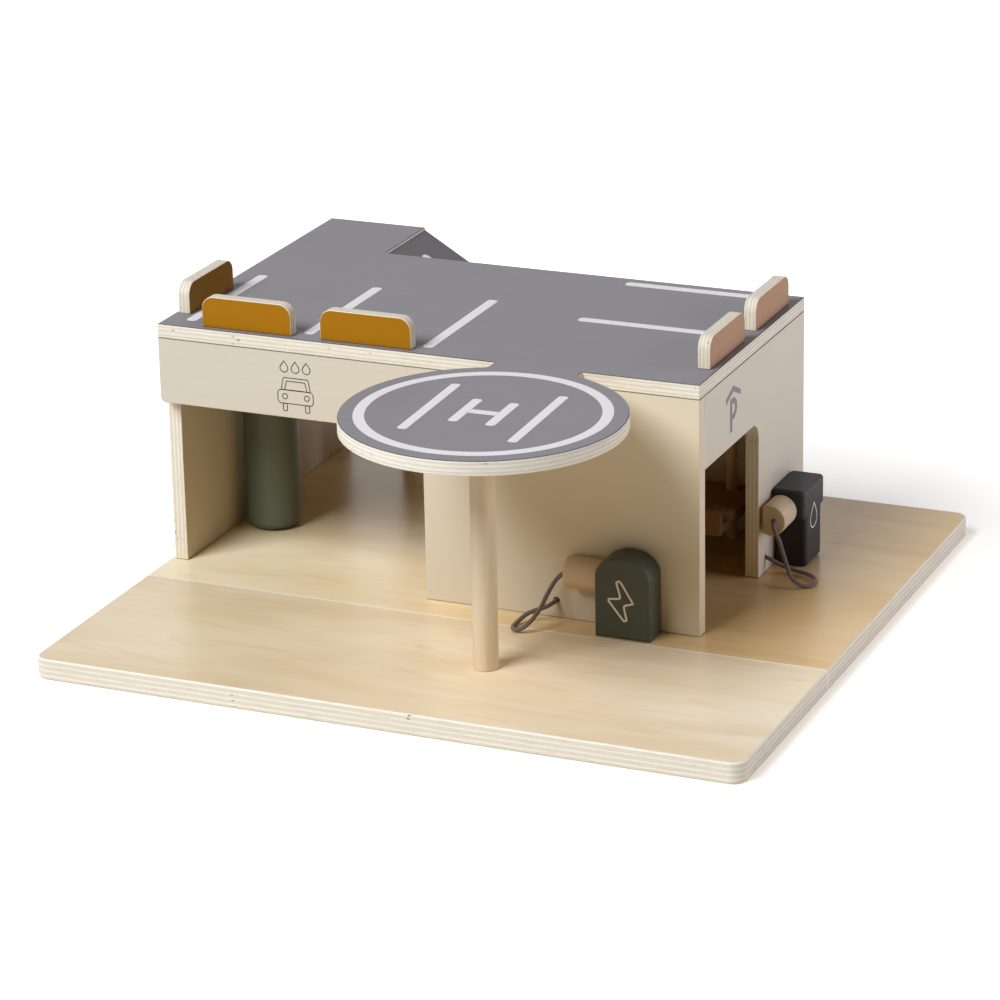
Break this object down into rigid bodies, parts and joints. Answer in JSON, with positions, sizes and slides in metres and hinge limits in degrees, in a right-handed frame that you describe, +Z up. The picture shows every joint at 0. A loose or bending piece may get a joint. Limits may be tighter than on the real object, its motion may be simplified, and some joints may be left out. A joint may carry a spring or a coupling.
{
  "type": "toy parking garage",
  "caption": "Wooden toy parking garage: roof deck with kerbs and ramp, round helicopter pad on a post, wash roller, charger, fuel pump and a small sliding car lift.",
  "frame": {"origin": "middle of the outer box on the ground plane, under the base", "axes": "+X to the garage's right as seen from its front, +Y towards the back, +Z up"},
  "size_m": [0.5028, 0.4864, 0.2145],
  "materials": {
    "birch_ply": "clear lacquered birch plywood",
    "beech": "plain turned beech",
    "cream_paint": "cream paint on plywood, bare layered edges",
    "deck_grey": "warm grey print on plywood, bare layered edges",
    "ramp_grey": "dark grey print on plywood",
    "clay_paint": "clay-coloured paint",
    "mustard_paint": "mustard paint",
    "sage_paint": "grey-green paint",
    "olive_paint": "dark olive paint",
    "slate_paint": "dark slate-blue paint",
    "cord": "braided cotton cord",
    "steel": "zinc-plated wood screw"
  },
  "bodies": {
    "root": {"base_dowel_1": "beech", "base_dowel_2": "beech", "base_dowel_3": "beech", "base_front_board": "birch_ply", "base_rear_board": "birch_ply", "charger_block": "olive_paint", "charger_cord": "cord", "charger_screw_1": "steel", "charger_screw_2": "steel", "corner_dowel_1": "beech", "corner_dowel_2": "beech", "deck_board": "deck_grey", "deck_dowel_1": "beech", "deck_dowel_2": "beech", "deck_dowel_3": "beech", "deck_dowel_4": "beech", "deck_dowel_5": "beech", "deck_dowel_6": "beech", "front_panel": "cream_paint", "fuel_cord": "cord", "helipad_post": "birch_ply", "kerb_dowel_1": "beech", "kerb_dowel_2": "beech", "kerb_dowel_3": "beech", "kerb_dowel_4": "beech", "kerb_dowel_5": "beech", "kerb_front_left": "mustard_paint", "kerb_front_right": "mustard_paint", "kerb_left": "mustard_paint", "kerb_right_front": "clay_paint", "kerb_right_rear": "clay_paint", "left_wall": "cream_paint", "lift_guide_left": "beech", "lift_guide_right": "beech", "post_screw": "steel", "pump_block": "slate_paint", "pump_screw_1": "steel", "pump_screw_2": "steel", "ramp_board": "ramp_grey", "ramp_cleat": "birch_ply", "ramp_leg": "cream_paint", "rear_panel": "cream_paint", "right_wall": "cream_paint", "wall_screw_1": "steel", "wall_screw_2": "steel", "wall_screw_3": "steel", "wall_screw_4": "steel", "wall_screw_5": "steel", "wall_screw_6": "steel", "wall_screw_7": "steel", "wall_screw_8": "steel", "wash_axle": "beech", "wash_spacer": "beech"},
    "wash_roller": {"wash_roller": "sage_paint"},
    "charger_plug": {"charger_plug": "beech"},
    "fuel_nozzle": {"fuel_nozzle": "beech"},
    "lift": {"lift_platform": "birch_ply", "lift_front_rail": "birch_ply", "lift_grip": "beech"}
  },
  "joints": [
    {"name": "wash_roller_spin", "type": "hinge", "parent": "root", "child": "wash_roller", "pos_m": [-0.2132, 0.04975, 0.015], "axis": [0, 0, 1], "continuous": true},
    {"name": "charger_plug_pull", "type": "slide", "parent": "root", "child": "charger_plug", "axis": [-1, 0, 0], "range_m": [0, 0.013], "deforming": ["charger_cord"]},
    {"name": "fuel_nozzle_pull", "type": "slide", "parent": "root", "child": "fuel_nozzle", "axis": [0, -1, 0], "range_m": [0, 0.013], "deforming": ["fuel_cord"]},
    {"name": "lift_slide", "type": "slide", "parent": "root", "child": "lift", "axis": [0, 0, 1], "range_m": [-0.029, 0.069]}
  ]
}
